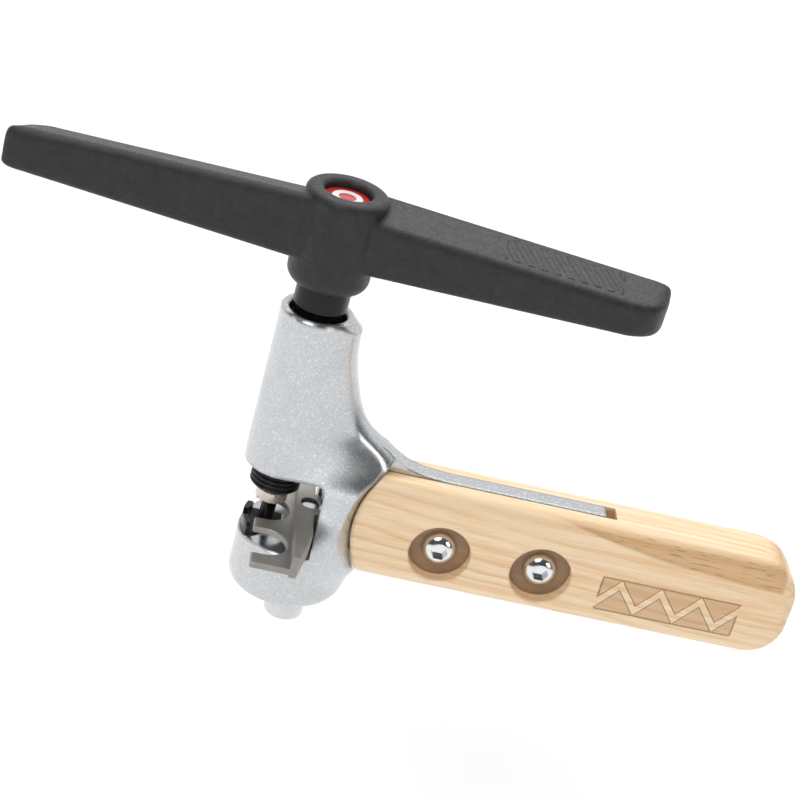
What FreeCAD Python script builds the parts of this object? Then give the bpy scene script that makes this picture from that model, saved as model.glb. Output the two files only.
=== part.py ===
"""Bicycle chain tool: a screw press that pushes a chain pin out of the link held under it.

Frame: the origin is the mouth of the anvil hole on the spindle axis, +Z runs up the spindle to the
T-handle, +X runs along the wood handle to its free end, and -Y is the side with the bolt heads.
All lengths are in millimetres.
"""

import FreeCAD
import Part
import Sketcher

import math
import os

doc = FreeCAD.newDocument("chain_tool")
V = FreeCAD.Vector

# ---------------------------------------------------------------- driving dimensions

DIMENSIONS = {
    # chain
    "chain_pitch": 12.7,
    # barrel and spindle
    "barrel_top": 48.5,
    "window_top": 14.6,
    "thread_radius": 5.0,
    "thread_bore": 5.06,
    "thread_step": 1.0,
    "thread_end": 9.2,
    "shank_radius": 5.25,
    "shank_bore": 5.6,
    "shank_bore_floor": 36.0,
    # base
    "base_x": 6.1,
    "base_radius": 11.1,
    "base_bottom": -11.6,
    "window_wall": 9.5,
    # anvil
    "anvil_hole": 2.05,
    "anvil_depth": 4.0,
    "anvil_left": -3.2,
    "anvil_right": 3.38,
    "anvil_half": 4.58,
    "flange_depth": 1.8,
    "flange_radius": 10.7,
    "anvil_wall": 1.7,
    # comb
    "plate_low": 2.4,
    "plate_top": 3.6,
    "bar_low": 1.9,
    "bar_top": 6.5,
    "bar_left": 5.3,
    "bar_tip": 6.8,
    "bar_right": 8.9,
    "comb_half": 21.0,
    "tooth_tip": -2.4,
    "notch_radius": 4.45,
    "post_x": 8.0,
    "post_radius": 1.7,
    "knob_radius": 4.0,
    "knob_end": -19.7,
    "spring_top": -2.5,
    # wood handle and tang
    "wood_low": -3.9,
    "wood_top": 18.5,
    "wood_end": 107.3,
    "wood_half": 6.35,
    "wood_edge": 2.8,
    "slot_half": 2.2,
    "slot_end": 67.6,
    "slot_floor": -1.2,
    "tang_half": 2.05,
    "tang_end": 65.3,
    "tang_top": 18.6,
    "tang_low": -0.8,
    # bolts
    "bolt_x": 34.7,
    "bolt_gap": 20.7,
    "bolt_z": 4.6,
    "counterbore": 6.2,
    "counterbore_depth": 3.2,
    "bolt_head": 3.6,
    "bolt_shank": 2.0,
    # T-handle
    "arm_length": 62.8,
    "arm_angle": 6.0,
    "hub_radius": 7.9,
    "hub_low": 54.0,
    "hub_top": 73.2,
    "recess_radius": 4.6,
    "badge_top": 71.6,
}

sheet = doc.addObject("Spreadsheet::Sheet", "dims")
for row, (alias, value) in enumerate(DIMENSIONS.items(), start=1):
    sheet.set("A%d" % row, alias)
    sheet.set("B%d" % row, str(value))
    sheet.setAlias("B%d" % row, alias)
doc.recompute()


class Dim:
    """A number together with the spreadsheet expression that gives it."""

    def __init__(self, value, text):
        self.value = value
        self.text = text

    def join(self, other, sign, value):
        return Dim(value, "(%s %s %s)" % (self.text, sign, other.text))

    def __add__(self, other):
        other = dim(other)
        return self.join(other, "+", self.value + other.value)

    def __sub__(self, other):
        other = dim(other)
        return self.join(other, "-", self.value - other.value)

    def __mul__(self, other):
        other = dim(other)
        return self.join(other, "*", self.value * other.value)

    def __neg__(self):
        return Dim(-self.value, "(0 - %s)" % self.text)


def dim(item):
    """Turn an alias, a number or a Dim into a Dim."""
    if isinstance(item, Dim):
        return item
    if isinstance(item, str):
        return Dim(DIMENSIONS[item], "dims." + item)
    return Dim(float(item), repr(float(item)))


def bind(obj, prop, item):
    """Drive one property of obj from the spreadsheet."""
    item = dim(item)
    if "dims." in item.text:
        obj.setExpression(prop, item.text)
    else:
        setattr(obj, prop, item.value)


# ---------------------------------------------------------------- sketch helpers


def new_body(name):
    body = doc.addObject("PartDesign::Body", name)
    body.Label = name
    return body


def origin_part(body, role):
    return [item for item in body.Origin.OriginFeatures if item.Role == role][0]


def new_sketch(body, name, plane, offset=0.0):
    """Sketch on an origin plane of its body, moved along the plane's normal."""
    sketch = body.newObject("Sketcher::SketchObject", name)
    sketch.AttachmentSupport = [(origin_part(body, plane + "_Plane"), "")]
    sketch.MapMode = "FlatFace"
    offset = dim(offset)
    sketch.AttachmentOffset = FreeCAD.Placement(V(0, 0, offset.value), FreeCAD.Rotation())
    if "dims." in offset.text:
        sketch.setExpression("AttachmentOffset.Base.z", offset.text)
    return sketch


def constrain(sketch, kind, refs, item):
    """Add a dimension to a sketch and drive it from the spreadsheet."""
    item = dim(item)
    index = sketch.addConstraint(Sketcher.Constraint(kind, *refs, item.value))
    if "dims." in item.text:
        sketch.setExpression("Constraints[%d]" % index, item.text)


def pin_point(sketch, geo, pos, x, y):
    constrain(sketch, "DistanceX", (-1, 1, geo, pos), x)
    constrain(sketch, "DistanceY", (-1, 1, geo, pos), y)


def add_circle(sketch, x, y, radius):
    x, y, radius = dim(x), dim(y), dim(radius)
    geo = sketch.addGeometry(Part.Circle(V(x.value, y.value, 0), V(0, 0, 1), radius.value))
    pin_point(sketch, geo, 3, x, y)
    constrain(sketch, "Radius", (geo,), radius)
    return geo


def add_outline(sketch, points, arcs=None):
    """Closed outline. arcs maps the index of an edge to (middle point, radius).

    A half circle is given with no radius: its centre is set level with its ends instead.
    """
    arcs = arcs or {}
    points = [(dim(x), dim(y)) for x, y in points]
    count = len(points)
    edges = []
    for i in range(count):
        start = V(points[i][0].value, points[i][1].value, 0)
        end = V(points[(i + 1) % count][0].value, points[(i + 1) % count][1].value, 0)
        if i in arcs:
            middle = V(arcs[i][0][0], arcs[i][0][1], 0)
            curve = Part.Arc(start, middle, end)
            edges.append((sketch.addGeometry(curve), curve))
        else:
            edges.append((sketch.addGeometry(Part.LineSegment(start, end)), None))
    ends = []
    for i, (geo, curve) in enumerate(edges):
        first, last = 1, 2
        if curve is not None:
            placed = sketch.getPoint(geo, 1)
            start = V(points[i][0].value, points[i][1].value, 0)
            if placed.distanceToPoint(start) > 1e-4:
                first, last = 2, 1
        ends.append((geo, first, last))
    for i, (geo, first, last) in enumerate(ends):
        after = ends[(i + 1) % count]
        sketch.addConstraint(Sketcher.Constraint("Coincident", geo, last, after[0], after[1]))
        pin_point(sketch, geo, first, *points[i])
        if i in arcs and arcs[i][1] is None:
            constrain(sketch, "DistanceX", (-1, 1, geo, 3), points[i][0])
        elif i in arcs:
            constrain(sketch, "Radius", (geo,), arcs[i][1])


def add_box(sketch, x0, y0, x1, y1):
    add_outline(sketch, [(x0, y0), (x1, y0), (x1, y1), (x0, y1)])


def pad(body, sketch, length, name, both=False, flip=False):
    feature = body.newObject("PartDesign::Pad", name)
    feature.Profile = sketch
    bind(feature, "Length", length)
    if both:
        feature.SideType = "Symmetric"
    feature.Reversed = flip
    return feature


def pocket(body, sketch, length, name, both=False, flip=False):
    feature = body.newObject("PartDesign::Pocket", name)
    feature.Profile = sketch
    bind(feature, "Length", length)
    if both:
        feature.SideType = "Symmetric"
    feature.Reversed = flip
    return feature


def revolve(body, points, name, kind="Revolution"):
    """Turned shape: points are (radius, height) about the body's Z axis."""
    sketch = new_sketch(body, name + "_sketch", "XZ")
    add_outline(sketch, points)
    feature = body.newObject("PartDesign::" + kind, name)
    feature.Profile = sketch
    feature.ReferenceAxis = (origin_part(body, "Z_Axis"), [""])
    feature.Angle = 360.0
    return feature


def dress(body, kind, size, name, wanted):
    """Fillet or chamfer every edge of the tip for which wanted(edge) is true."""
    doc.recompute()
    base = body.Tip
    names = []
    for number, edge in enumerate(base.Shape.Edges, start=1):
        if wanted(edge):
            names.append("Edge%d" % number)
    feature = body.newObject("PartDesign::" + kind, name)
    feature.Base = (base, names)
    bind(feature, "Radius" if kind == "Fillet" else "Size", size)
    return feature


def span(edge, axis):
    """Lowest and highest coordinate of an edge along one axis."""
    box = edge.BoundBox
    return {
        "x": (box.XMin, box.XMax),
        "y": (box.YMin, box.YMax),
        "z": (box.ZMin, box.ZMax),
    }[axis]


def flat_at(edge, axis, level, slack=0.02):
    low, high = span(edge, axis)
    return abs(low - level) < slack and abs(high - level) < slack


# ---------------------------------------------------------------- body casting

body = new_body("body_casting")

# height, centre and radius of the round end, reach towards the wood, radius of that end
SECTIONS = [
    ("base_bottom", "base_x", 10.6, 17.2, 8.4),
    (-8.0, "base_x", "base_radius", 18.6, 8.2),
    (-4.0, "base_x", "base_radius", 20.6, 7.8),
    (0.0, "base_x", "base_radius", 22.6, 7.6),
    (4.0, 5.2, 10.3, 23.6, 7.5),
    (9.0, 2.4, 8.5, 24.0, 7.3),
    ("window_top", 0.3, 7.3, 24.0, 6.9),
    (17.2, 0.1, 7.2, 24.0, 5.8),
    (19.4, 0.0, 7.15, 23.4, 4.9),
    (22.3, 0.0, 7.15, 20.8, 4.1),
    (25.5, 0.0, 7.15, 16.3, 4.0),
    (30.0, 0.0, 7.15, 13.0, 4.5),
    (36.0, 0.0, 7.15, 10.7, 5.2),
    (42.0, 0.0, 7.15, 9.3, 5.6),
    (45.5, 0.0, 7.15, 9.05, 5.6),
    ("barrel_top", 0.0, 7.15, 8.95, 5.6),
]


def add_teardrop(sketch, centre, big, reach, small):
    """Two arcs joined by tangent lines, symmetric about the X axis."""
    centre, big, reach, small = dim(centre), dim(big), dim(reach), dim(small)
    far = reach - small
    gap = far.value - centre.value
    lean = (big.value - small.value) / gap
    across = (1.0 - lean * lean) ** 0.5
    left = V(centre.value - big.value, 0, 0)
    right = V(reach.value, 0, 0)
    high_a = V(centre.value + big.value * lean, big.value * across, 0)
    high_b = V(far.value + small.value * lean, small.value * across, 0)
    low_a = V(high_a.x, -high_a.y, 0)
    low_b = V(high_b.x, -high_b.y, 0)
    pieces = [
        Part.Arc(high_a, left, low_a),
        Part.LineSegment(low_a, low_b),
        Part.Arc(low_b, right, high_b),
        Part.LineSegment(high_b, high_a),
    ]
    first = sketch.addGeometry(pieces)[0]
    for start, end in ((0, 1), (1, 2), (2, 3), (3, 0)):
        sketch.addConstraint(
            Sketcher.Constraint("Tangent", first + start, 2, first + end, 1)
        )
    pin_point(sketch, first, 3, centre, 0.0)
    pin_point(sketch, first + 2, 3, far, 0.0)
    constrain(sketch, "Radius", (first,), big)
    constrain(sketch, "Radius", (first + 2,), small)


rings = []
for number, (height, centre, big, reach, small) in enumerate(SECTIONS):
    ring = new_sketch(body, "section_%d" % number, "XY", height)
    add_teardrop(ring, centre, big, reach, small)
    rings.append(ring)
shell = body.newObject("PartDesign::AdditiveLoft", "shell")
shell.Profile = rings[0]
shell.Sections = rings[1:]
shell.Ruled = False

# bevel around the top of the barrel
revolve(
    body,
    [
        (6.6, "barrel_top"),
        (10.6, dim("barrel_top") - 4.0),
        (10.6, dim("barrel_top") + 1.0),
        (6.6, dim("barrel_top") + 1.0),
    ],
    "top_bevel",
    "Groove",
)

# window for the chain, open to the left and to both faces
window = new_sketch(body, "window_outline", "XZ")
wall = DIMENSIONS["window_wall"]
top = DIMENSIONS["window_top"]
add_outline(
    window,
    [
        (-20.0, 0.0),
        ("window_wall", 0.0),
        ("window_wall", dim("window_top") - 2.0),
        (dim("window_wall") - 2.0, "window_top"),
        (-20.0, "window_top"),
    ],
    {2: ((wall - 0.586, top - 0.586), 2.0)},
)
pocket(body, window, 60.0, "window", both=True)

# seat for the wood's rounded end, cut right through and flared at both faces
SEAT_X, SEAT_Z, SEAT_R = 37.0, 7.2, 20.9
SEAT_LOW, SEAT_TOP = -13.4, 24.0


def add_seat(sketch):
    """Everything to the right of the seat's arc."""
    low_x = SEAT_X - (SEAT_R ** 2 - (SEAT_LOW - SEAT_Z) ** 2) ** 0.5
    top_x = SEAT_X - (SEAT_R ** 2 - (SEAT_TOP - SEAT_Z) ** 2) ** 0.5
    points = [(top_x, SEAT_TOP), (low_x, SEAT_LOW), (60.0, SEAT_LOW), (60.0, SEAT_TOP)]
    add_outline(sketch, points, {0: ((SEAT_X - SEAT_R, SEAT_Z), SEAT_R)})


seat = new_sketch(body, "seat_outline", "XZ")
add_seat(seat)
pocket(body, seat, 60.0, "seat", both=True)
for face, sign in (("front", 1.0), ("back", -1.0)):
    mouth = new_sketch(body, face + "_mouth_outline", "XZ", 5.6 * sign)
    add_seat(mouth)
    flare = pocket(body, mouth, 6.0, face + "_mouth", flip=sign > 0)
    flare.TaperAngle = 40.0

# tang that fills the wood's slot
tang = new_sketch(body, "tang_outline", "XZ")
add_outline(
    tang,
    [
        (13.0, "tang_low"),
        (dim("tang_end") - 3.0, "tang_low"),
        ("tang_end", dim("tang_low") + 3.0),
        ("tang_end", "tang_top"),
        (33.0, "tang_top"),
        (28.0, dim("tang_top") + 0.4),
        (24.6, dim("tang_top") + 1.3),
        (21.8, dim("tang_top") + 2.8),
        (19.6, dim("tang_top") + 4.4),
        (17.6, dim("tang_top") + 5.4),
        (15.5, 14.0),
        (13.0, 10.0),
    ],
)
pad(body, tang, dim("tang_half") * 2.0, "tang", both=True)

tang_holes = new_sketch(body, "tang_holes_outline", "XZ")
for index in range(2):
    add_circle(tang_holes, dim("bolt_x") + dim("bolt_gap") * index, "bolt_z", 2.75)
pocket(body, tang_holes, 8.0, "tang_holes", both=True)

# spindle bore: threaded length, then a wider mouth for the smooth shank
thread_bore = new_sketch(body, "thread_bore_outline", "XY", dim("window_top") - 1.0)
add_circle(thread_bore, 0.0, 0.0, "thread_bore")
pocket(body, thread_bore, 40.0, "thread_bore", flip=True)
revolve(
    body,
    [
        (0.0, "shank_bore_floor"),
        ("shank_bore", "shank_bore_floor"),
        ("shank_bore", dim("barrel_top") - 0.5),
        (dim("shank_bore") + 0.5, "barrel_top"),
        (dim("shank_bore") + 0.5, dim("barrel_top") + 2.0),
        (0.0, dim("barrel_top") + 2.0),
    ],
    "shank_bore",
    "Groove",
)

# rim that falls to the left, pocket for the anvil block and its flange, and the chain pin's way out
rim_slope = new_sketch(body, "rim_slope_outline", "XZ")
add_outline(rim_slope, [(-0.5, 0.0), (-5.2, -1.5), (-20.0, -1.5), (-20.0, 0.5), (-0.5, 0.5)])
pocket(body, rim_slope, 60.0, "rim_slope", both=True)
ANVIL_FIT = 0.02


def add_flange(sketch, fit):
    """The flange's outline: straight on three sides, round on the left to follow the base's rim."""
    half = dim("anvil_half") + fit
    radius = dim("flange_radius") + fit
    corner = DIMENSIONS["base_x"] - (radius.value ** 2 - half.value ** 2) ** 0.5
    right = dim("anvil_right") + fit
    points = [(right, -half), (right, half), (corner, half), (corner, -half)]
    add_outline(sketch, points, {2: ((DIMENSIONS["base_x"] - radius.value, 0.0), radius)})


anvil_pocket = new_sketch(body, "anvil_pocket_outline", "XY")
add_box(
    anvil_pocket,
    dim("anvil_left") - ANVIL_FIT,
    -dim("anvil_half") - ANVIL_FIT,
    dim("anvil_right") + ANVIL_FIT,
    dim("anvil_half") + ANVIL_FIT,
)
pocket(body, anvil_pocket, "anvil_depth", "anvil_pocket")
flange_step = new_sketch(body, "flange_step_outline", "XY")
add_flange(flange_step, ANVIL_FIT)
pocket(body, flange_step, "flange_depth", "flange_step")
pin_way = new_sketch(body, "pin_way_outline", "XY")
add_circle(pin_way, 0.0, 0.0, 2.35)
pocket(body, pin_way, 40.0, "pin_way")

# rest pad for the comb, plunger guide and spring chamber
rest = new_sketch(body, "rest_outline", "XY")
add_box(rest, 5.5, -3.6, 10.2, 3.6)
pad(body, rest, dim("bar_low") - 0.03, "rest")
guide = new_sketch(body, "guide_outline", "XY", 6.0)
add_circle(guide, "post_x", 0.0, dim("post_radius") + 0.06)
pocket(body, guide, 40.0, "guide")
chamber = new_sketch(body, "chamber_outline", "XY", "spring_top")
add_circle(chamber, "post_x", 0.0, dim("knob_radius") + 0.1)
pocket(body, chamber, 30.0, "chamber")

# recess in the window wall for the comb's lug
lug_room = new_sketch(body, "lug_room_outline", "XY", 1.87)
add_box(lug_room, 8.0, -4.1, 11.4, 4.1)
pocket(body, lug_room, 8.2, "lug_room", flip=True)

# set screw hole for the anvil block, from the left
SCREW_Y, SCREW_Z = 2.9, -3.0
screw_way = new_sketch(body, "screw_way_outline", "YZ", "anvil_left")
add_circle(screw_way, SCREW_Y, SCREW_Z, 1.05)
pocket(body, screw_way, 4.0, "screw_way")

# ---------------------------------------------------------------- anvil block

anvil = new_body("anvil_block")
block = new_sketch(anvil, "block_outline", "XY", -dim("anvil_depth") + ANVIL_FIT)
add_box(block, "anvil_left", -dim("anvil_half"), "anvil_right", "anvil_half")
pad(anvil, block, dim("anvil_depth") - ANVIL_FIT, "block")
flange = new_sketch(anvil, "flange_outline", "XY", -dim("flange_depth") + ANVIL_FIT)
add_flange(flange, 0.0)
pad(anvil, flange, dim("flange_depth") - ANVIL_FIT, "flange")

# two lugs that follow the rim and keep the chain over the hole
RIM = 0.9
rim = new_sketch(anvil, "rim_outline", "XY", -0.1)
half = DIMENSIONS["anvil_half"]
outer = DIMENSIONS["flange_radius"]
outer_x = DIMENSIONS["base_x"] - (outer ** 2 - half ** 2) ** 0.5
inner_x = DIMENSIONS["base_x"] - ((outer - RIM) ** 2 - half ** 2) ** 0.5
add_outline(
    rim,
    [
        (outer_x, -dim("anvil_half")),
        (inner_x, -dim("anvil_half")),
        (inner_x, "anvil_half"),
        (outer_x, "anvil_half"),
    ],
    {
        1: ((DIMENSIONS["base_x"] - outer + RIM, 0.0), dim("flange_radius") - RIM),
        3: ((DIMENSIONS["base_x"] - outer, 0.0), "flange_radius"),
    },
)
pad(anvil, rim, dim("anvil_wall") + 0.1, "rim")
rim_cut = new_sketch(anvil, "rim_cut_outline", "YZ")
wall_top = dim("anvil_wall")
add_outline(rim_cut, [(-1.3, wall_top + 0.3), (-0.8, 0.4), (0.8, 0.4), (1.3, wall_top + 0.3)])
for side in (-1.0, 1.0):
    corner = [(4.9 * side, wall_top + 0.3), (3.9 * side, wall_top + 0.3), (4.9 * side, 0.5)]
    add_outline(rim_cut, corner)
pocket(anvil, rim_cut, 20.0, "rim_cut", both=True)

pin_hole = new_sketch(anvil, "pin_hole_outline", "XY", 1.0)
add_circle(pin_hole, 0.0, 0.0, "anvil_hole")
pocket(anvil, pin_hole, 10.0, "pin_hole")
screw_seat = new_sketch(anvil, "screw_seat_outline", "YZ", dim("anvil_left") - 1.0)
add_circle(screw_seat, SCREW_Y, SCREW_Z, 0.75)
pocket(anvil, screw_seat, 1.6, "screw_seat", flip=True)
dress(
    anvil, "Chamfer", 0.25, "hole_mouth",
    lambda e: flat_at(e, "z", 0.0) and e.Curve.TypeId == "Part::GeomCircle" and e.Closed,
)

# ---------------------------------------------------------------- anvil set screw

anvil_screw = new_body("anvil_screw")
screw_thread = new_sketch(anvil_screw, "thread_outline", "YZ", dim("anvil_left") - 1.0)
add_circle(screw_thread, SCREW_Y, SCREW_Z, 1.0)
pad(anvil_screw, screw_thread, 0.97, "thread")
screw_tip = new_sketch(anvil_screw, "tip_outline", "YZ", dim("anvil_left") - 0.1)
add_circle(screw_tip, SCREW_Y, SCREW_Z, 0.7)
pad(anvil_screw, screw_tip, 0.65, "tip")
key_hole = new_sketch(anvil_screw, "key_outline", "YZ", dim("anvil_left") - 1.0)
key = [
    (SCREW_Y + 0.5 * math.cos(math.radians(60 * i)), SCREW_Z + 0.5 * math.sin(math.radians(60 * i)))
    for i in range(6)
]
add_outline(key_hole, key)
pocket(anvil_screw, key_hole, 0.6, "key_hole", flip=True)

# ---------------------------------------------------------------- chain comb

comb = new_body("chain_comb")
bar = new_sketch(comb, "bar_outline", "XY", "bar_low")
half = dim("comb_half")
add_outline(
    bar,
    [
        ("bar_left", -half),
        ("bar_tip", -half),
        ("bar_right", -11.5),
        ("bar_right", -3.8),
        (10.8, -3.2),
        (10.8, 3.2),
        ("bar_right", 3.8),
        ("bar_right", 11.5),
        ("bar_tip", half),
        ("bar_left", half),
    ],
)
pad(comb, bar, dim("bar_top") - dim("bar_low"), "bar")
plate = new_sketch(comb, "plate_outline", "XY", "plate_low")
add_box(plate, "tooth_tip", -half, dim("bar_left") + 0.5, half)
pad(comb, plate, dim("plate_top") - dim("plate_low"), "plate")
notches = new_sketch(comb, "notch_outline", "XY", 5.0)
radius = DIMENSIONS["notch_radius"]
for step in (-1, 0, 1):
    middle = step * DIMENSIONS["chain_pitch"]
    centre = dim("chain_pitch") * step
    add_outline(
        notches,
        [
            (-6.0, centre - "notch_radius"),
            (0.0, centre - "notch_radius"),
            (0.0, centre + "notch_radius"),
            (-6.0, centre + "notch_radius"),
        ],
        {1: ((radius, middle), None)},
    )
pocket(comb, notches, 10.0, "notches")
post_hole = new_sketch(comb, "post_hole_outline", "XY", 10.0)
add_circle(post_hole, "post_x", 0.0, dim("post_radius") + 0.1)
pocket(comb, post_hole, 20.0, "post_hole")
dress(
    comb, "Fillet", 0.5, "tooth_corners",
    lambda e: flat_at(e, "x", DIMENSIONS["tooth_tip"]) and e.Length < 1.3 and span(e, "z")[1] < 4,
)
dress(
    comb, "Chamfer", 0.22, "notch_edges",
    lambda e: flat_at(e, "z", DIMENSIONS["plate_top"]) and span(e, "x")[1] < 4.6,
)
dress(
    comb, "Chamfer", 0.18, "bar_edges",
    lambda e: flat_at(e, "z", DIMENSIONS["bar_top"]),
)

# ---------------------------------------------------------------- lift plunger, spring, seat

plunger = new_body("lift_plunger")
post_x = dim("post_x")
stub = new_sketch(plunger, "knob_outline", "XY", "knob_end")
add_circle(stub, post_x, 0.0, "knob_radius")
pad(plunger, stub, dim(-9.2) - "knob_end", "knob")
shaft = new_sketch(plunger, "shaft_outline", "XY", -9.5)
add_circle(shaft, post_x, 0.0, "post_radius")
pad(plunger, shaft, dim(5.5) + 9.5, "shaft")
tip = new_sketch(plunger, "tip_outline", "XY", 2.0)
add_circle(tip, post_x, 0.0, dim("post_radius") + 0.1)
pad(plunger, tip, 3.9, "tip")
dress(plunger, "Fillet", 1.0, "knob_end_edge",
      lambda e: flat_at(e, "z", DIMENSIONS["knob_end"]))
dress(plunger, "Chamfer", 0.3, "tip_edge", lambda e: flat_at(e, "z", 5.9))

seat_ring = new_body("spring_seat")
ring = new_sketch(seat_ring, "ring_outline", "XY", -9.19)
add_circle(ring, post_x, 0.0, 3.9)
add_circle(ring, post_x, 0.0, 1.75)
pad(seat_ring, ring, 0.5, "ring")

SPRING_LOW = -8.5
COIL_R = 2.95
WIRE_R = 0.3
SPRING_HIGH = DIMENSIONS["spring_top"] - 0.2
coil_path = doc.addObject("Part::Helix", "coil_path")
coil_path.Pitch = 1.05
coil_path.Height = SPRING_HIGH - SPRING_LOW - 2.0 * WIRE_R
coil_path.Radius = COIL_R
coil_path.SegmentLength = 0.25
coil_path.Placement = FreeCAD.Placement(
    V(DIMENSIONS["post_x"], 0, SPRING_LOW + WIRE_R), FreeCAD.Rotation()
)
coil_path.setExpression("Placement.Base.x", "dims.post_x")
wire = doc.addObject("Part::Circle", "coil_wire")
wire.Radius = WIRE_R
wire.Placement = FreeCAD.Placement(
    V(DIMENSIONS["post_x"] + COIL_R, 0, SPRING_LOW + WIRE_R), FreeCAD.Rotation(V(1, 0, 0), 90)
)
wire.setExpression("Placement.Base.x", "dims.post_x + %r" % COIL_R)
doc.recompute()
spring = doc.addObject("Part::Sweep", "plunger_spring")
spring.Sections = [wire]
spring.Spine = (coil_path, ["Edge%d" % (i + 1) for i in range(len(coil_path.Shape.Edges))])
spring.Solid = True
spring.Frenet = True
spring.Label = "plunger_spring"

# ---------------------------------------------------------------- wood handle

wood = new_body("wood_handle")
wood_side = new_sketch(wood, "wood_outline", "XZ")
END_X, END_Z, END_R = SEAT_X, SEAT_Z, SEAT_R - 0.35


def end_x(height):
    return END_X - (END_R ** 2 - (height - END_Z) ** 2) ** 0.5


low_z = DIMENSIONS["wood_low"]
top_z = DIMENSIONS["wood_top"]
far_x = DIMENSIONS["wood_end"]
LOW_R = 7.6
TOP_R = 9.8
add_outline(
    wood_side,
    [
        (end_x(top_z), "wood_top"),
        (end_x(low_z), "wood_low"),
        (dim("wood_end") - LOW_R, "wood_low"),
        ("wood_end", dim("wood_low") + LOW_R),
        ("wood_end", dim("wood_top") - TOP_R),
        (dim("wood_end") - TOP_R, "wood_top"),
    ],
    {
        0: ((END_X - END_R, END_Z), END_R),
        2: ((far_x - LOW_R * 0.2929, low_z + LOW_R * 0.2929), LOW_R),
        4: ((far_x - TOP_R * 0.2929, top_z - TOP_R * 0.2929), TOP_R),
    },
)
pad(wood, wood_side, dim("wood_half") * 2.0, "block", both=True)


def rim_edge(edge):
    """Long edges around both faces, except the end that sits in the body."""
    on_face = flat_at(edge, "y", -DIMENSIONS["wood_half"]) or flat_at(edge, "y", DIMENSIONS["wood_half"])
    return on_face and span(edge, "x")[1] > 30


def seat_edge(edge):
    """Short end edges around both faces, inside the body's seat."""
    on_face = flat_at(edge, "y", -DIMENSIONS["wood_half"]) or flat_at(edge, "y", DIMENSIONS["wood_half"])
    return on_face and span(edge, "x")[1] < 30


dress(wood, "Fillet", "wood_edge", "rim_round", rim_edge)
dress(wood, "Fillet", 1.0, "end_round", seat_edge)

slot = new_sketch(wood, "slot_outline", "XZ")
add_outline(
    slot,
    [
        (10.0, "slot_floor"),
        (dim("slot_end") - 4.0, "slot_floor"),
        ("slot_end", dim("slot_floor") + 4.0),
        ("slot_end", 22.0),
        (10.0, 22.0),
    ],
)
pocket(wood, slot, dim("slot_half") * 2.0, "slot", both=True)

for face, sign in (("front", 1.0), ("back", -1.0)):
    mouth = new_sketch(wood, face + "_mouths", "XZ", dim("wood_half") * sign)
    for index in range(2):
        add_circle(mouth, dim("bolt_x") + dim("bolt_gap") * index, "bolt_z", "counterbore")
    pocket(wood, mouth, "counterbore_depth", face + "_counterbores", flip=sign < 0)
bolt_ways = new_sketch(wood, "bolt_ways_outline", "XZ")
for index in range(2):
    add_circle(bolt_ways, dim("bolt_x") + dim("bolt_gap") * index, "bolt_z", 2.75)
pocket(wood, bolt_ways, 20.0, "bolt_ways", both=True)
dress(
    wood, "Chamfer", 0.3, "mouth_edges",
    lambda e: e.Curve.TypeId == "Part::GeomCircle"
    and (flat_at(e, "y", -DIMENSIONS["wood_half"]) or flat_at(e, "y", DIMENSIONS["wood_half"]))
    and abs(e.Curve.Radius - DIMENSIONS["counterbore"]) < 0.01,
)

# ---------------------------------------------------------------- bolts and sleeve nuts

FLOOR_Y = DIMENSIONS["wood_half"] - DIMENSIONS["counterbore_depth"]


def turned(name, points, x, arcs):
    """Solid of revolution about an axis along Y at (x, bolt_z); points are (radius, distance).

    arcs maps the index of an edge to the middle point of an arc that takes its place.
    """
    corners = [V(radius, distance, 0) for radius, distance in points]
    edges = []
    for i, start in enumerate(corners):
        end = corners[(i + 1) % len(corners)]
        if i in arcs:
            edges.append(Part.Arc(start, V(arcs[i][0], arcs[i][1], 0), end).toShape())
        else:
            edges.append(Part.LineSegment(start, end).toShape())
    outline = doc.addObject("Part::Feature", name + "_outline")
    outline.Shape = Part.Wire(edges)
    solid = doc.addObject("Part::Revolution", name + "_turned")
    solid.Source = outline
    solid.Axis = V(0, 1, 0)
    solid.Base = V(0, 0, 0)
    solid.Angle = 360.0
    solid.Solid = True
    solid.Placement = FreeCAD.Placement(V(x.value, 0, DIMENSIONS["bolt_z"]), FreeCAD.Rotation())
    solid.setExpression("Placement.Base.x", x.text)
    solid.setExpression("Placement.Base.z", "dims.bolt_z")
    return solid


def hex_hole(name, x, reach, start, depth, sign):
    """Hexagonal prism along Y whose flats are reach apart."""
    prism = doc.addObject("Part::Prism", name)
    prism.Polygon = 6
    prism.Circumradius = reach / 3 ** 0.5
    prism.Height = depth
    prism.Placement = FreeCAD.Placement(
        V(x.value, start, DIMENSIONS["bolt_z"]), FreeCAD.Rotation(V(1, 0, 0), 90.0 * sign)
    )
    prism.setExpression("Placement.Base.x", x.text)
    prism.setExpression("Placement.Base.z", "dims.bolt_z")
    return prism


def cut(name, base, tool):
    result = doc.addObject("Part::Cut", name)
    result.Base = base
    result.Tool = tool
    return result


def group(name, members):
    result = doc.addObject("Part::Compound", name)
    result.Links = members
    result.Label = name
    return result


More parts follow.
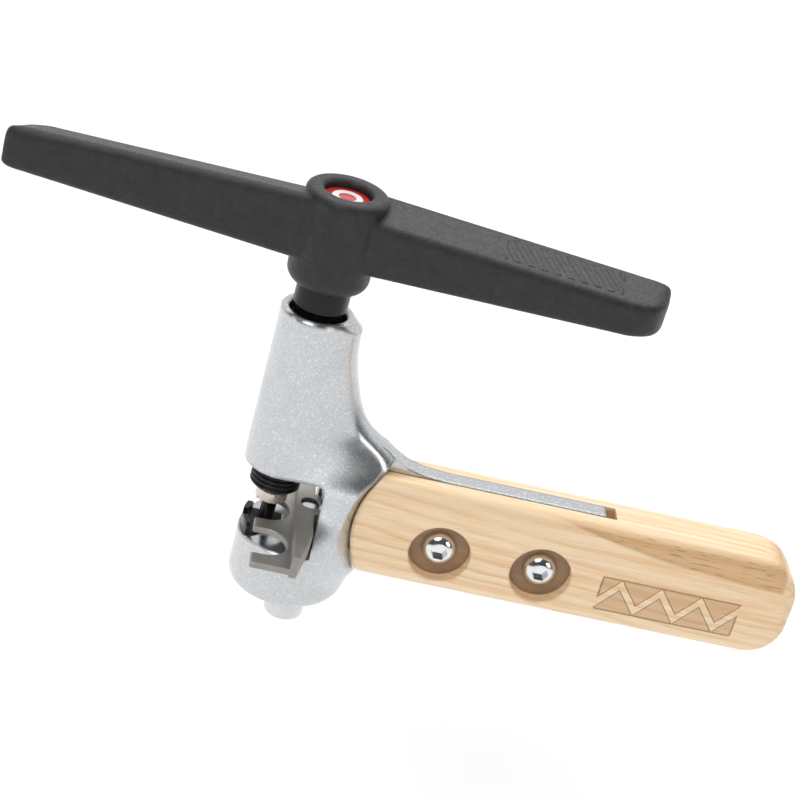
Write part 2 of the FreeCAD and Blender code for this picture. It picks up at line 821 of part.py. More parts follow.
HEAD = DIMENSIONS["bolt_head"]
SHANK = DIMENSIONS["bolt_shank"]
head_profile = [
    (0.0, -FLOOR_Y - 2.2),
    (1.85, -FLOOR_Y - 2.2),
    (HEAD, -FLOOR_Y - 0.35),
    (HEAD, -FLOOR_Y - 0.01),
    (SHANK, -FLOOR_Y - 0.01),
    (SHANK, 3.0),
    (0.0, 3.0),
]
head_dome = {1: (2.95, -FLOOR_Y - 1.55)}
nut_profile = [
    (SHANK + 0.02, -FLOOR_Y + 1.4),
    (2.6, -FLOOR_Y + 1.4),
    (2.6, FLOOR_Y + 0.01),
    (HEAD, FLOOR_Y + 0.01),
    (HEAD, FLOOR_Y + 0.35),
    (1.85, FLOOR_Y + 2.0),
    (0.0, FLOOR_Y + 2.0),
    (0.0, 3.1),
    (SHANK + 0.02, 3.1),
]
nut_dome = {4: (2.95, FLOOR_Y + 1.4)}
bolts = []
nuts = []
for index in range(2):
    place = dim("bolt_x") + dim("bolt_gap") * index
    solid = turned("bolt_%d" % index, head_profile, place, head_dome)
    socket = hex_hole("bolt_socket_%d" % index, place, 3.0, -FLOOR_Y - 1.0, 3.0, 1)
    bolts.append(cut("bolt_cut_%d" % index, solid, socket))
    solid = turned("nut_%d" % index, nut_profile, place, nut_dome)
    socket = hex_hole("nut_socket_%d" % index, place, 3.0, FLOOR_Y + 0.6, 3.0, -1)
    nuts.append(cut("nut_cut_%d" % index, solid, socket))
handle_bolts = group("handle_bolts", bolts)
sleeve_nuts = group("sleeve_nuts", nuts)

# ---------------------------------------------------------------- spindle, cap and push pin

spindle = new_body("spindle_screw")
THREAD_STOP = 46.5
revolve(
    spindle,
    [
        (2.6, "thread_end"),
        (4.3, "thread_end"),
        ("thread_radius", dim("thread_end") + 0.7),
        ("thread_radius", THREAD_STOP),
        (4.55, THREAD_STOP + 0.4),
        (4.55, dim("barrel_top") + 0.3),
        ("shank_radius", dim("barrel_top") + 1.1),
        ("shank_radius", 67.0),
        (4.8, 67.4),
        (1.7, 67.4),
        (1.7, 63.6),
        (0.0, 63.2),
        (0.0, 16.6),
        (2.6, 16.0),
    ],
    "turning",
)
tooth = revolve(
    spindle,
    [
        (dim("thread_radius") - 0.5, dim("thread_end") + 1.25),
        (dim("thread_radius") + 0.08, dim("thread_end") + 0.8),
        (dim("thread_radius") + 0.08, dim("thread_end") + 1.7),
    ],
    "thread_groove",
    "Groove",
)
thread = spindle.newObject("PartDesign::LinearPattern", "thread")
thread.Originals = [tooth]
thread.Direction = (origin_part(spindle, "Z_Axis"), [""])
bind(thread, "Offset", "thread_step")
thread.Mode = "Spacing"
thread.Occurrences = 36
spindle.Tip = thread
cross = new_sketch(spindle, "cross_hole_outline", "YZ")
add_circle(cross, 0.0, 62.0, 1.0)
pocket(spindle, cross, 20.0, "cross_hole", both=True)

cap = new_body("pin_cap")
revolve(
    cap,
    [
        (1.56, 6.2),
        (2.95, 6.2),
        (3.15, 6.4),
        (3.15, 8.4),
        (2.8, 8.7),
        (2.8, dim("thread_end") - 0.03),
        (2.55, dim("thread_end") - 0.03),
        (2.55, 12.4),
        (1.56, 12.4),
    ],
    "turning",
)
knurl_cut = new_sketch(cap, "knurl_outline", "XY", 6.0)
add_outline(knurl_cut, [(2.98, 0.0), (3.3, -0.27), (3.3, 0.27)])
knurl = pocket(cap, knurl_cut, 3.2, "knurl_groove", flip=True)
knurl.UseCustomVector = True
knurl.Direction = V(0.0, -0.45, -1.0)
knurls = cap.newObject("PartDesign::PolarPattern", "knurling")
knurls.Originals = [knurl]
knurls.Axis = (origin_part(cap, "Z_Axis"), [""])
knurls.Angle = 360.0
knurls.Occurrences = 30
cap.Tip = knurls

push = new_body("push_pin")
revolve(
    push,
    [
        (0.0, 0.6),
        (1.3, 0.6),
        (1.5, 0.8),
        (1.5, 12.45),
        (2.4, 12.45),
        (2.4, 15.5),
        (2.0, 15.9),
        (0.0, 15.9),
    ],
    "turning",
)

# ---------------------------------------------------------------- T-handle

grip = new_body("t_handle")
grip.Placement = FreeCAD.Placement(V(0, 0, 0), FreeCAD.Rotation(V(0, 0, 1), -6.0))
grip.setExpression("Placement.Rotation.Angle", "0 deg - dims.arm_angle * 1 deg")


def arm_values(reach):
    """Section of an arm at a distance from the spindle: low edge, front and back top, half widths."""
    share = (reach - 8.0) / 52.0
    return {
        "low": 59.3 + 2.3 * share,
        "front": 69.8 - 2.0 * share,
        "back": 72.4 - 2.0 * share,
        "near": 4.9 + 0.2 * share,
        "far": 5.4 - 0.3 * share,
    }


BROAD = 7.6


def rounded(corners, radius):
    """Outline of a four-sided section with rounded corners: its points and its arcs."""
    points = []
    arcs = {}
    for index, corner in enumerate(corners):
        here = V(corner[0], corner[1], 0)
        back = V(*corners[index - 1], 0) - here
        ahead = V(*corners[(index + 1) % 4], 0) - here
        back.normalize()
        ahead.normalize()
        half = back.getAngle(ahead) / 2.0
        run = radius / math.tan(half)
        inward = back + ahead
        inward.normalize()
        middle = here + inward * (radius / math.sin(half) - radius)
        for point in (here + back * run, here + ahead * run):
            points.append((point.x, point.y))
        arcs[2 * index] = ((middle.x, middle.y), radius)
    return points, arcs


def arm_corners(reach, turn, trim):
    """Corners of an arm's section; the leading side curves away towards the tip."""
    value = arm_values(reach)
    past = max(0.0, reach - (DIMENSIONS["arm_length"] - BROAD))
    near = value["near"] - BROAD + math.sqrt(max(0.0, BROAD ** 2 - past ** 2))
    return [
        (-(near - trim) * turn, value["low"] + trim),
        ((value["far"] - trim) * turn, value["low"] + trim),
        ((value["far"] - trim) * turn, value["back"] - trim),
        (-(near - trim) * turn, value["front"] - trim),
    ]


def arm_loft(name, turn, stations, ruled):
    """Loft through sections given as (distance in from the tip, trim, corner radius)."""
    rings = []
    for number, (inset, trim, corner) in enumerate(stations):
        distance = (dim("arm_length") - inset) * turn
        ring = new_sketch(grip, "%s_ring_%d" % (name, number), "YZ", distance)
        reach = DIMENSIONS["arm_length"] - inset
        points, arcs = rounded(arm_corners(reach, turn, trim), corner)
        add_outline(ring, points, arcs)
        rings.append(ring)
    arm = grip.newObject("PartDesign::AdditiveLoft", name)
    arm.Profile = rings[0]
    arm.Sections = rings[1:]
    arm.Ruled = ruled


SHAFT = [(61.8, 0.0, 1.2), (BROAD, 0.0, 1.2)]
TIP = [
    (BROAD, 0.0, 1.2),
    (5.2, 0.0, 1.2),
    (3.2, 0.0, 1.15),
    (1.8, 0.05, 1.1),
    (0.7, 0.3, 0.9),
    (0.0, 0.9, 0.6),
]
for side, turn in (("right", 1.0), ("left", -1.0)):
    arm_loft(side + "_arm", turn, SHAFT, True)
    arm_loft(side + "_tip", turn, TIP, False)

hub_ring = new_sketch(grip, "hub_outline", "XY", "hub_low")
add_circle(hub_ring, 0.0, 0.0, "hub_radius")
pad(grip, hub_ring, dim("hub_top") - "hub_low", "hub")
dress(
    grip, "Fillet", 2.6, "hub_low_edge",
    lambda e: flat_at(e, "z", DIMENSIONS["hub_low"]) and e.Curve.TypeId == "Part::GeomCircle",
)
dress(
    grip, "Fillet", 1.2, "hub_top_edge",
    lambda e: flat_at(e, "z", DIMENSIONS["hub_top"]) and e.Curve.TypeId == "Part::GeomCircle",
)
revolve(
    grip,
    [
        (0.0, 53.0),
        (dim("shank_radius") + 0.02, 53.0),
        (dim("shank_radius") + 0.02, 56.0),
        (6.6, 56.0),
        (6.6, 67.6),
        (4.0, 67.6),
        (4.0, 70.54),
        ("recess_radius", 70.54),
        ("recess_radius", dim("hub_top") - 0.5),
        (dim("recess_radius") + 0.5, dim("hub_top") + 0.1),
        (0.0, dim("hub_top") + 0.1),
    ],
    "hub_bore",
    "Groove",
)

insert = new_body("hub_insert")
revolve(
    insert,
    [
        (dim("shank_radius") + 0.02, 56.02),
        (6.58, 56.02),
        (6.58, 67.58),
        (dim("shank_radius") + 0.02, 67.58),
    ],
    "turning",
)
insert_cross = new_sketch(insert, "cross_hole_outline", "YZ")
add_circle(insert_cross, 0.0, 62.0, 1.0)
pocket(insert, insert_cross, 20.0, "cross_hole", both=True)

drive = new_body("drive_pin")
drive_ring = new_sketch(drive, "pin_outline", "YZ")
add_circle(drive_ring, 0.0, 62.0, 0.99)
pad(drive, drive_ring, 12.8, "pin", both=True)

washer = new_body("screw_washer")
revolve(washer, [(2.15, 67.45), (3.8, 67.45), (3.8, 68.0), (2.15, 68.0)], "turning")

screw = new_body("handle_screw")
revolve(
    screw,
    [
        (0.0, 63.7),
        (1.3, 63.7),
        (1.65, 64.1),
        (1.65, 68.02),
        (3.4, 68.02),
        (3.4, 70.2),
        (3.1, 70.5),
        (1.3, 70.5),
        (1.3, 69.2),
        (0.0, 69.2),
    ],
    "turning",
)

badge = new_body("hub_badge")
revolve(
    badge,
    [
        (0.0, 70.56),
        (dim("recess_radius") - 0.08, 70.56),
        (dim("recess_radius") - 0.08, dim("badge_top") - 0.15),
        (dim("recess_radius") - 0.23, "badge_top"),
        (0.0, "badge_top"),
    ],
    "turning",
)

emblem = new_body("badge_emblem")
revolve(
    emblem,
    [
        (1.7, "badge_top"),
        (2.9, "badge_top"),
        (2.9, dim("badge_top") + 0.15),
        (1.7, dim("badge_top") + 0.15),
    ],
    "turning",
)

# ---------------------------------------------------------------- check and export

doc.recompute()

NODES = {
    "body_casting": body,
    "anvil_block": anvil,
    "anvil_screw": anvil_screw,
    "chain_comb": comb,
    "lift_plunger": plunger,
    "spring_seat": seat_ring,
    "plunger_spring": spring,
    "wood_handle": wood,
    "handle_bolts": handle_bolts,
    "sleeve_nuts": sleeve_nuts,
    "spindle_screw": spindle,
    "pin_cap": cap,
    "push_pin": push,
    "t_handle": grip,
    "hub_insert": insert,
    "drive_pin": drive,
    "screw_washer": washer,
    "handle_screw": screw,
    "hub_badge": badge,
    "badge_emblem": emblem,
}
# every piece turned with the T-handle shares its resting angle
for name in ("hub_insert", "drive_pin", "badge_emblem"):
    NODES[name].Placement = FreeCAD.Placement(V(0, 0, 0), FreeCAD.Rotation(V(0, 0, 1), -6.0))
    NODES[name].setExpression("Placement.Rotation.Angle", "0 deg - dims.arm_angle * 1 deg")
spindle.Placement = FreeCAD.Placement(V(0, 0, 0), FreeCAD.Rotation(V(0, 0, 1), -6.0))
spindle.setExpression("Placement.Rotation.Angle", "0 deg - dims.arm_angle * 1 deg")
doc.recompute()

for item in doc.Objects:
    state = [word for word in item.State if word in ("Invalid", "Error")]
    if state:
        raise RuntimeError("%s is %s" % (item.Name, state))
for name, item in NODES.items():
    shape = item.Shape
    if shape.isNull() or not shape.isValid() or shape.Volume <= 0:
        raise RuntimeError("%s has a bad shape" % name)
    box = shape.BoundBox
    print("%-15s solids %d volume %9.2f x %.2f..%.2f y %.2f..%.2f z %.2f..%.2f" % (
        name, len(shape.Solids), shape.Volume,
        box.XMin, box.XMax, box.YMin, box.YMax, box.ZMin, box.ZMax,
    ))

os.makedirs("parts", exist_ok=True)
for name, item in NODES.items():
    item.Shape.exportStep("parts/%s.step" % name)
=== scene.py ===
import math

import bpy
from mathutils import Matrix, Vector


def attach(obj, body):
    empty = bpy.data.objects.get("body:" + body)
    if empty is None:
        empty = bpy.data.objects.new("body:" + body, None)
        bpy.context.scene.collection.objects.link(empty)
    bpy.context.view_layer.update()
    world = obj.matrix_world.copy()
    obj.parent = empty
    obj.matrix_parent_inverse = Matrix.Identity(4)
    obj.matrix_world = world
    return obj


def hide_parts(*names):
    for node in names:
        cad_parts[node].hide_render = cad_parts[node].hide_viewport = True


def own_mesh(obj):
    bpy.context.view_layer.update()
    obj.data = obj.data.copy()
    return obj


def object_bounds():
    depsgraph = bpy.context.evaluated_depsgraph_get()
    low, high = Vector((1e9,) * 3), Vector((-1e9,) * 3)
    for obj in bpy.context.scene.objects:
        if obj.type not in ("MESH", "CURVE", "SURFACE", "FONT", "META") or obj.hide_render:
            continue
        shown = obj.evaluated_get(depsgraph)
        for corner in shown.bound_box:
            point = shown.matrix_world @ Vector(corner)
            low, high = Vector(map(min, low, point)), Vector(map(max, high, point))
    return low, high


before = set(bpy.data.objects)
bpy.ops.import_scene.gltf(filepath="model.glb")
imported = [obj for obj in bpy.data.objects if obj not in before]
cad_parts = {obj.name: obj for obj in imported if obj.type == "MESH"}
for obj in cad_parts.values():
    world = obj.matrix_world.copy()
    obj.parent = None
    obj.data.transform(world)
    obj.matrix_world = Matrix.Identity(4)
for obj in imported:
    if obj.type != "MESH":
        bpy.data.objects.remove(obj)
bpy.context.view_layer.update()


# places on the object that its materials mark, in metres
BOLTS_X = (0.0347, 0.0554)
BOLTS_Z = 0.0046
MARK_X, MARK_HALF_X = 0.0820, 0.0145
MARK_Z, MARK_HALF_Z = 0.0038, 0.0040
RIBS_MIDDLE = 0.042
RIBS_WAVE = 2450.0


# ------------------------------------------------------------------ material helpers


class Nodes:
    """Short names for building one node material."""

    def __init__(self, name):
        self.mat = bpy.data.materials.new(name)
        self.mat.use_nodes = True
        self.tree = self.mat.node_tree
        self.tree.nodes.clear()
        self.out = self.add("ShaderNodeOutputMaterial")
        self.bsdf = self.add("ShaderNodeBsdfPrincipled")
        self.link(self.bsdf.outputs["BSDF"], self.out.inputs["Surface"])
        self.place = self.add("ShaderNodeTexCoord").outputs["Object"]

    def add(self, kind, **props):
        node = self.tree.nodes.new(kind)
        for key, value in props.items():
            setattr(node, key, value)
        return node

    def link(self, source, target):
        self.tree.links.new(source, target)

    def feed(self, target, value):
        if hasattr(value, "is_output"):
            self.link(value, target)
        else:
            target.default_value = value

    def set(self, **values):
        for key, value in values.items():
            self.feed(self.bsdf.inputs[key.replace("_", " ")], value)

    def scaled(self, x, y, z):
        node = self.add("ShaderNodeMapping")
        node.inputs["Scale"].default_value = (x, y, z)
        self.link(self.place, node.inputs["Vector"])
        return node.outputs["Vector"]

    def noise(self, vector, scale, detail=2.0, rough=0.5):
        node = self.add("ShaderNodeTexNoise")
        self.link(vector, node.inputs["Vector"])
        node.inputs["Scale"].default_value = scale
        node.inputs["Detail"].default_value = detail
        node.inputs["Roughness"].default_value = rough
        return node.outputs["Fac"]

    def voronoi(self, vector, scale, output="Distance"):
        node = self.add("ShaderNodeTexVoronoi")
        self.link(vector, node.inputs["Vector"])
        node.inputs["Scale"].default_value = scale
        return node.outputs[output]

    def math(self, kind, a, b=0.0, clamp=False):
        node = self.add("ShaderNodeMath", operation=kind)
        node.use_clamp = clamp
        for socket, value in zip(node.inputs, (a, b)):
            self.feed(socket, value)
        return node.outputs[0]

    def remap(self, value, low, high, to_low=0.0, to_high=1.0, smooth=False):
        node = self.add("ShaderNodeMapRange")
        if smooth:
            node.interpolation_type = "SMOOTHSTEP"
        self.feed(node.inputs["Value"], value)
        node.inputs["From Min"].default_value = low
        node.inputs["From Max"].default_value = high
        node.inputs["To Min"].default_value = to_low
        node.inputs["To Max"].default_value = to_high
        return node.outputs["Result"]

    def ramp(self, value, stops):
        node = self.add("ShaderNodeValToRGB")
        self.feed(node.inputs["Fac"], value)
        elements = node.color_ramp.elements
        while len(elements) < len(stops):
            elements.new(0.5)
        for element, (at, color) in zip(elements, stops):
            element.position = at
            element.color = (*color, 1.0)
        return node.outputs["Color"]

    def mix(self, share, a, b, blend="MIX"):
        node = self.add("ShaderNodeMix", data_type="RGBA", blend_type=blend)
        self.feed(node.inputs["Factor"], share)
        for socket, value in ((node.inputs[6], a), (node.inputs[7], b)):
            self.feed(socket, (*value, 1.0) if isinstance(value, tuple) else value)
        return node.outputs[2]

    def axes(self, vector=None):
        node = self.add("ShaderNodeSeparateXYZ")
        self.link(vector or self.place, node.inputs[0])
        return node.outputs

    def bump(self, height, strength, distance, under=None):
        node = self.add("ShaderNodeBump")
        node.inputs["Strength"].default_value = strength
        node.inputs["Distance"].default_value = distance
        self.link(height, node.inputs["Height"])
        if under:
            self.link(under, node.inputs["Normal"])
        return node.outputs["Normal"]

    def edges(self, radius):
        """How much a soft-cornered normal differs from the true one: about 1 on edges."""
        bevel = self.add("ShaderNodeBevel", samples=4)
        bevel.inputs["Radius"].default_value = radius
        true = self.add("ShaderNodeNewGeometry").outputs["Normal"]
        dot = self.add("ShaderNodeVectorMath", operation="DOT_PRODUCT")
        self.link(bevel.outputs["Normal"], dot.inputs[0])
        self.link(true, dot.inputs[1])
        return self.remap(dot.outputs["Value"], 1.0, 0.86)

    def soft(self, radius):
        bevel = self.add("ShaderNodeBevel", samples=4)
        bevel.inputs["Radius"].default_value = radius
        return bevel.outputs["Normal"]


# ------------------------------------------------------------------ materials


def cast_silver():
    """Painted casting: satin silver with fine flakes painted bright as painted glints, and a soft
    orange-peel surface.
    """
    n = Nodes("cast_silver")
    flake = n.axes(n.voronoi(n.place, 5200.0, "Color"))
    painted_glint = n.remap(flake[1], 0.80, 1.0)
    cloud = n.noise(n.place, 160.0, 3.0)
    color = n.mix(n.remap(cloud, 0.3, 0.7), (0.53, 0.545, 0.56), (0.58, 0.595, 0.61))
    # painted glint: random flake cells are painted near white in the colour
    color = n.mix(n.math("MULTIPLY", painted_glint, 0.6), color, (0.97, 0.98, 1.0))
    rough = n.remap(flake[0], 0.0, 1.0, 0.25, 0.17)
    peel = n.noise(n.place, 700.0, 3.0, 0.6)
    normal = n.bump(peel, 0.09, 0.0001, n.soft(0.0011))
    n.set(Base_Color=color, Metallic=0.92, Roughness=rough, Normal=normal,
          Coat_Weight=0.12, Coat_Roughness=0.25)
    return n.mat


def warm_steel():
    """Sintered steel: matt warm grey with fine pores, and a painted highlight lighter on the edges."""
    n = Nodes("sintered_steel")
    grain = n.noise(n.place, 2600.0, 4.0, 0.7)
    cloud = n.noise(n.place, 210.0, 3.0)
    color = n.mix(n.remap(cloud, 0.3, 0.7), (0.30, 0.285, 0.265), (0.38, 0.365, 0.34))
    # painted highlight: the edges are painted lighter in the colour
    color = n.mix(n.math("MULTIPLY", n.edges(0.0002), 0.6, clamp=True), color, (0.62, 0.59, 0.55))
    rough = n.remap(grain, 0.25, 0.75, 0.40, 0.60)
    normal = n.bump(grain, 0.25, 0.0001, n.soft(0.00015))
    n.set(Base_Color=color, Metallic=0.75, Roughness=rough, Normal=normal)
    return n.mat


def black_polymer():
    """Moulded nylon: near black with a fine pebbled skin and a painted highlight along the edges."""
    n = Nodes("black_polymer")
    pebble = n.voronoi(n.place, 1700.0)
    fine = n.noise(n.place, 1500.0, 4.0, 0.65)
    cloud = n.noise(n.place, 420.0, 4.0, 0.65)
    color = n.mix(n.remap(cloud, 0.3, 0.7), (0.006, 0.006, 0.007), (0.017, 0.017, 0.019))
    # painted highlight: the edges are painted lighter in the colour
    color = n.mix(n.math("MULTIPLY", n.edges(0.0006), 0.35, clamp=True), color, (0.06, 0.06, 0.062))
    rough = n.remap(fine, 0.3, 0.7, 0.34, 0.56)
    height = n.math("ADD", n.math("MULTIPLY", pebble, 0.3), n.math("MULTIPLY", fine, 0.7))
    normal = n.bump(height, 0.45, 0.00022, n.soft(0.0018))
    # generic raised ribs moulded into the top of one arm
    x, y, z = n.axes()
    turn = math.radians(6.0)
    c, s = math.cos(turn), math.sin(turn)
    along = n.math("SUBTRACT", n.math("MULTIPLY", x, c), n.math("MULTIPLY", y, s))
    across = n.math("ADD", n.math("MULTIPLY", x, s), n.math("MULTIPLY", y, c))
    from_middle = n.math("ABSOLUTE", n.math("SUBTRACT", along, RIBS_MIDDLE))
    inside = n.math("MULTIPLY", n.remap(from_middle, 0.0115, 0.0112),
                    n.remap(n.math("ABSOLUTE", across), 0.0031, 0.0028))
    above = n.remap(z, 0.0665, 0.0668)
    slanted = n.math("ADD", along, n.math("MULTIPLY", across, 0.6))
    wave = n.math("SINE", n.math("MULTIPLY", slanted, RIBS_WAVE))
    rib = n.remap(wave, -0.15, 0.15)
    relief = n.math("MULTIPLY", n.math("MULTIPLY", inside, above), rib)
    normal = n.bump(relief, 0.55, 0.00035, normal)
    n.set(Base_Color=color, Roughness=rough, Normal=normal)
    return n.mat


def black_steel(name, edge=0.25):
    """Black oxide steel: satin, with a painted highlight bright on the edges and fine turning marks."""
    n = Nodes(name)
    cloud = n.noise(n.place, 300.0, 3.0)
    rings = n.noise(n.scaled(60.0, 60.0, 6000.0), 1.0, 2.0)
    color = n.mix(n.remap(cloud, 0.3, 0.7), (0.009, 0.009, 0.010), (0.017, 0.017, 0.018))
    # painted highlight: edges painted lighter, by the share given as edge
    color = n.mix(n.math("MULTIPLY", n.edges(0.00015), edge, clamp=True), color, (0.28, 0.28, 0.29))
    rough = n.remap(cloud, 0.3, 0.7, 0.24, 0.36)
    normal = n.bump(rings, 0.10, 0.00004, n.soft(0.00012))
    n.set(Base_Color=color, Metallic=0.55, Roughness=rough, Normal=normal)
    return n.mat


def bright_metal(name, color, rough_low, rough_high, grain):
    """Polished or turned metal with fine directional marks."""
    n = Nodes(name)
    marks = n.noise(n.scaled(*grain), 1.0, 3.0, 0.6)
    cloud = n.noise(n.place, 400.0, 3.0)
    tint = n.mix(n.remap(cloud, 0.3, 0.7), tuple(0.9 * c for c in color), color)
    rough = n.remap(marks, 0.3, 0.7, rough_low, rough_high)
    normal = n.bump(marks, 0.08, 0.00004, n.soft(0.00012))
    n.set(Base_Color=tint, Metallic=1.0, Roughness=rough, Normal=normal)
    return n.mat


def enamel(name, color, edge):
    """Glossy filled resin with faint dust and waviness."""
    n = Nodes(name)
    cloud = n.noise(n.place, 500.0, 3.0)
    tint = n.mix(n.remap(cloud, 0.3, 0.7), color, edge)
    fine = n.noise(n.place, 1500.0, 2.0)
    n.set(Base_Color=tint, Roughness=n.remap(fine, 0.3, 0.7, 0.12, 0.26),
          Normal=n.bump(fine, 0.08, 0.00005), Coat_Weight=0.6, Coat_Roughness=0.08)
    return n.mat


def ash_wood():
    """Pale ash: long grain along X, darker arched figure over the upper part, painted shade on the
    counterbore floors.
    """
    n = Nodes("ash_wood")
    x, y, z = n.axes()
    # rings of a log whose heart lies above and behind the block
    wander = n.noise(n.scaled(16.0, 55.0, 55.0), 1.0, 3.0, 0.5)
    lean = n.math("MULTIPLY", n.math("SUBTRACT", x, 0.03), 0.07)
    sway = n.math("MULTIPLY", n.math("SUBTRACT", wander, 0.5), 0.008)
    up = n.math("SUBTRACT", n.math("ADD", n.math("ADD", z, lean), sway), 0.030)
    back = n.math("SUBTRACT", y, 0.016)
    distance = n.math("SQRT", n.math("ADD", n.math("POWER", up, 2.0), n.math("POWER", back, 2.0)))
    ring = n.math("FRACT", n.math("MULTIPLY", distance, 560.0))
    late = n.math("MULTIPLY", n.remap(ring, 0.45, 0.95, smooth=True), n.remap(ring, 1.0, 0.95))
    patch = n.noise(n.scaled(30.0, 160.0, 160.0), 1.0, 3.0)
    late = n.math("MULTIPLY", late, n.remap(patch, 0.35, 0.65, 0.15, 1.0))
    streak = n.noise(n.scaled(22.0, 700.0, 700.0), 1.0, 4.0, 0.65)
    fibre = n.noise(n.scaled(110.0, 3600.0, 3600.0), 1.0, 3.0, 0.7)
    pale = n.ramp(streak, [
        (0.28, (0.99, 0.81, 0.58)),
        (0.50, (0.97, 0.73, 0.47)),
        (0.74, (0.85, 0.53, 0.27)),
    ])
    color = n.mix(n.math("MULTIPLY", late, 0.42), pale, (0.62, 0.31, 0.10))
    # darker figure above a line that falls towards the free end, dense with pores
    curve = n.math("MULTIPLY", n.math("POWER", n.math("SUBTRACT", 0.104, x), 2.0), 2.6)
    edge = n.math("ADD", 0.0120, curve)
    ripple = n.math("MULTIPLY", n.math("SUBTRACT", n.noise(n.scaled(60.0, 90.0, 90.0), 1.0), 0.5), 0.0012)
    above = n.math("SUBTRACT", n.math("ADD", z, ripple), edge)
    figure = n.math("MULTIPLY", n.remap(above, -0.0002, 0.0004), n.remap(x, 0.1040, 0.1032))
    figure = n.math("MULTIPLY", figure, n.remap(z, 0.0182, 0.0172))
    line = n.math("MULTIPLY", figure, n.remap(above, 0.0016, 0.0002))
    color = n.mix(n.math("MULTIPLY", figure, 0.72), color, (0.66, 0.38, 0.17))
    color = n.mix(n.math("MULTIPLY", line, 0.35), color, (0.50, 0.24, 0.075))
    pores = n.remap(n.noise(n.scaled(260.0, 4200.0, 4200.0), 1.0, 1.0), 0.58, 0.68)
    pores = n.math("MULTIPLY", pores, n.math("ADD", n.math("MULTIPLY", figure, 0.75), 0.12))
    color = n.mix(n.math("MULTIPLY", n.remap(fibre, 0.38, 0.7), 0.22), color, (0.66, 0.40, 0.18))
    color = n.mix(n.math("MULTIPLY", pores, 0.75), color, (0.36, 0.17, 0.06))
    # painted shade on the floors of the counterbores
    recess_shade = 0.0
    for middle in BOLTS_X:
        across = n.math("POWER", n.math("SUBTRACT", x, middle), 2.0)
        down = n.math("POWER", n.math("SUBTRACT", z, BOLTS_Z), 2.0)
        far = n.math("SQRT", n.math("ADD", across, down))
        recess_shade = n.math("MAXIMUM", recess_shade, n.remap(far, 0.00640, 0.00628))
    floor = n.math("MULTIPLY", recess_shade, n.remap(n.math("ABSOLUTE", y), 0.0036, 0.0033))
    # painted shade: the counterbore floors are painted dark brown
    color = n.mix(n.math("MULTIPLY", floor, 0.86), color, (0.26, 0.155, 0.090))
    # generic pressed mark near the free end: a sunk band with a raised zigzag
    u = n.math("DIVIDE", n.math("SUBTRACT", x, MARK_X), MARK_HALF_X)
    v = n.math("DIVIDE", n.math("SUBTRACT", z, MARK_Z), MARK_HALF_Z)
    wide = n.remap(n.math("ABSOLUTE", u), 1.0, 0.97)
    field = n.math("MULTIPLY", wide, n.remap(n.math("ABSOLUTE", v), 1.0, 0.90))
    zig = n.math("PINGPONG", n.math("MULTIPLY", n.math("ADD", u, 1.0), 3.5), 1.0)
    path = n.math("SUBTRACT", n.math("MULTIPLY", zig, 1.3), 0.65)
    raised = n.remap(n.math("ABSOLUTE", n.math("SUBTRACT", path, v)), 0.34, 0.26)
    band = n.math("SUBTRACT", field, n.math("MULTIPLY", raised, field))
    sunk = n.math("MULTIPLY", band, n.remap(y, -0.0058, -0.0061))
    wall = n.math("MULTIPLY", sunk, n.remap(sunk, 1.0, 0.4))
    color = n.mix(n.math("MULTIPLY", sunk, 0.48), color, (0.50, 0.25, 0.09))
    color = n.mix(n.math("MULTIPLY", wall, 0.8, clamp=True), color, (0.30, 0.13, 0.04))
    height = n.math("SUBTRACT", n.math("MULTIPLY", fibre, 0.35), n.math("MULTIPLY", pores, 0.6))
    normal = n.bump(height, 0.20, 0.00012)
    normal = n.bump(n.math("SUBTRACT", 1.0, sunk), 0.9, 0.0007, normal)
    rough = n.remap(streak, 0.3, 0.7, 0.42, 0.55)
    n.set(Base_Color=color, Roughness=rough, Normal=normal, Coat_Weight=0.12, Coat_Roughness=0.3)
    return n.mat


MATERIALS = {
    "body_casting": cast_silver(),
    "anvil_block": black_steel("anvil_black", 0.5),
    "chain_comb": warm_steel(),
    "lift_plunger": bright_metal("turned_aluminium", (0.66, 0.67, 0.69), 0.12, 0.20, (300, 300, 5000)),
    "wood_handle": ash_wood(),
    "handle_bolts": bright_metal("polished_steel", (0.84, 0.85, 0.86), 0.10, 0.20, (900, 900, 900)),
    "spindle_screw": black_steel("spindle_black", 0.30),
    "push_pin": black_steel("pin_black", 0.20),
    "pin_cap": bright_metal("warm_nickel", (0.72, 0.66, 0.57), 0.22, 0.36, (2500, 2500, 2500)),
    "t_handle": black_polymer(),
    "hub_badge": enamel("badge_red", (0.62, 0.02, 0.025), (0.52, 0.015, 0.02)),
    "badge_emblem": enamel("badge_white", (0.90, 0.90, 0.90), (0.82, 0.82, 0.82)),
    "spring_seat": bright_metal("zinc_steel", (0.62, 0.63, 0.65), 0.25, 0.38, (900, 900, 900)),
}
SHARED = {
    "anvil_screw": "anvil_block",
    "sleeve_nuts": "handle_bolts",
    "plunger_spring": "spring_seat",
    "hub_insert": "spring_seat",
    "drive_pin": "spring_seat",
    "screw_washer": "spring_seat",
    "handle_screw": "spring_seat",
}
for name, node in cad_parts.items():
    mat = MATERIALS[SHARED.get(name, name)]
    node.data.materials.clear()
    node.data.materials.append(mat)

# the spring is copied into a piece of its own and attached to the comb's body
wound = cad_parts["plunger_spring"]
spring = bpy.data.objects.new("return_spring", wound.data.copy())
bpy.context.collection.objects.link(spring)
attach(spring, "comb")
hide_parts("plunger_spring")
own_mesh(spring)


# ------------------------------------------------------------------ stage, light and camera

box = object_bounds()
low, high = Vector(box[0]), Vector(box[1])
centre = (low + high) / 2.0


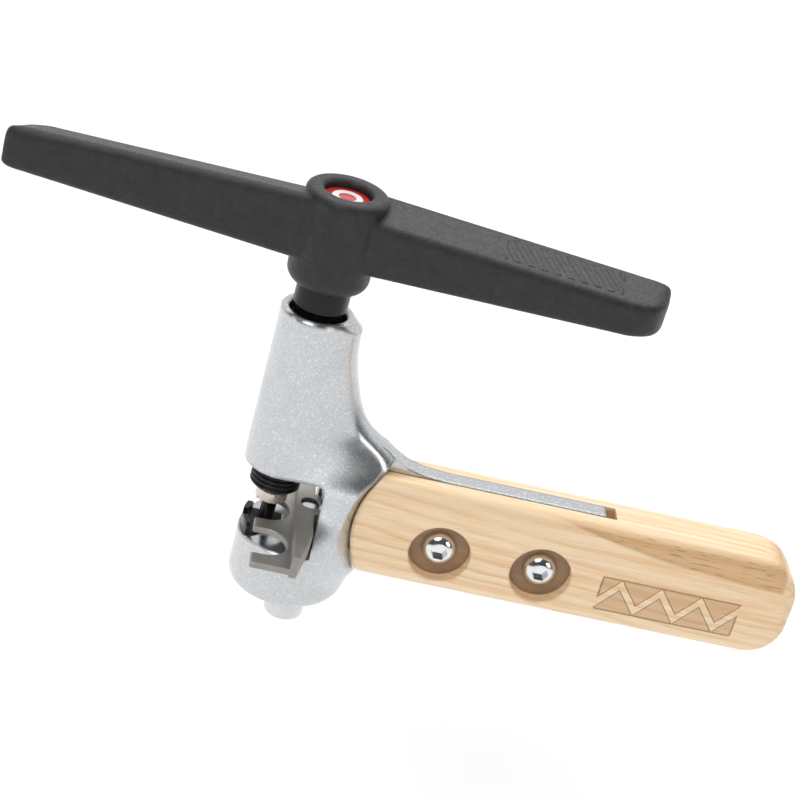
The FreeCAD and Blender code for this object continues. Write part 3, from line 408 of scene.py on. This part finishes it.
def stage_floor():
    mesh = bpy.data.meshes.new("floor")
    reach = 3.0
    level = low.z - 0.10
    corners = [(-reach, -reach), (reach, -reach), (reach, reach), (-reach, reach)]
    mesh.from_pydata([(x, y, level) for x, y in corners], [], [(0, 1, 2, 3)])
    floor = bpy.data.objects.new("floor", mesh)
    bpy.context.collection.objects.link(floor)
    n = Nodes("studio_floor")
    soft = n.noise(n.place, 3.0, 2.0)
    n.set(Base_Color=n.mix(soft, (0.93, 0.93, 0.93), (0.95, 0.95, 0.95)), Roughness=0.9)
    mesh.materials.append(n.mat)
    return floor


stage_floor()


def soft_box(name, place, aim, width, depth, power):
    data = bpy.data.lights.new(name, "AREA")
    data.shape = "RECTANGLE"
    data.size = width
    data.size_y = depth
    data.energy = power
    lamp = bpy.data.objects.new(name, data)
    bpy.context.collection.objects.link(lamp)
    lamp.location = place
    lamp.rotation_euler = (Vector(aim) - Vector(place)).to_track_quat("-Z", "Y").to_euler()
    lamp.visible_camera = False


soft_box("key", (-0.55, -1.05, 1.45), centre, 0.80, 0.80, 15.0)
soft_box("fill", (1.40, -1.50, 0.70), centre, 0.70, 1.00, 6.0)
soft_box("left", (-1.60, -0.50, 0.40), centre, 0.35, 1.20, 2.0)
soft_box("low", (0.06, -0.62, -0.02), centre, 0.34, 0.18, 0.10)
soft_box("backdrop", (0.10, 0.75, 1.20), (0.10, 0.85, -0.12), 1.60, 1.00, 13.0)


def studio_world():
    """White backdrop behind the object, darker room on the camera's side."""
    world = bpy.data.worlds.new("studio")
    world.use_nodes = True
    tree = world.node_tree
    back = tree.nodes["Background"]
    coord = tree.nodes.new("ShaderNodeTexCoord")
    split = tree.nodes.new("ShaderNodeSeparateXYZ")
    tree.links.new(coord.outputs["Generated"], split.inputs[0])
    ramp = tree.nodes.new("ShaderNodeValToRGB")
    half = tree.nodes.new("ShaderNodeMath")
    half.operation = "MULTIPLY_ADD"
    half.inputs[1].default_value = 0.5
    half.inputs[2].default_value = 0.5
    tree.links.new(split.outputs[1], half.inputs[0])
    tree.links.new(half.outputs[0], ramp.inputs["Fac"])
    stops = ((0.0, 0.06), (0.34, 0.09), (0.50, 0.35), (0.70, 0.90))
    elements = ramp.color_ramp.elements
    while len(elements) < len(stops):
        elements.new(0.5)
    for element, (at, value) in zip(elements, stops):
        element.position = at
        element.color = (value, value, value, 1.0)
    tree.links.new(ramp.outputs["Color"], back.inputs["Color"])
    back.inputs["Strength"].default_value = 1.0
    return world


bpy.context.scene.world = studio_world()
bpy.context.scene.view_settings.view_transform = "Standard"


def add_camera(place, aim, roll_deg, lens):
    data = bpy.data.cameras.new("camera")
    data.sensor_width = 36.0
    data.lens = lens
    data.clip_start = 0.01
    camera = bpy.data.objects.new("camera", data)
    bpy.context.collection.objects.link(camera)
    ahead = (Vector(aim) - Vector(place)).normalized()
    right = ahead.cross(Vector((0, 0, 1))).normalized()
    up = right.cross(ahead)
    c, s = math.cos(math.radians(roll_deg)), math.sin(math.radians(roll_deg))
    x_axis = right * c + up * s
    y_axis = up * c - right * s
    turn = Matrix((x_axis, y_axis, -ahead)).transposed()
    camera.matrix_world = Matrix.Translation(Vector(place)) @ turn.to_4x4()
    bpy.context.scene.camera = camera


add_camera((-0.02790, -0.34908, 0.21402), (0.01955, 0.0, 0.03317), 15.88, 92.47)
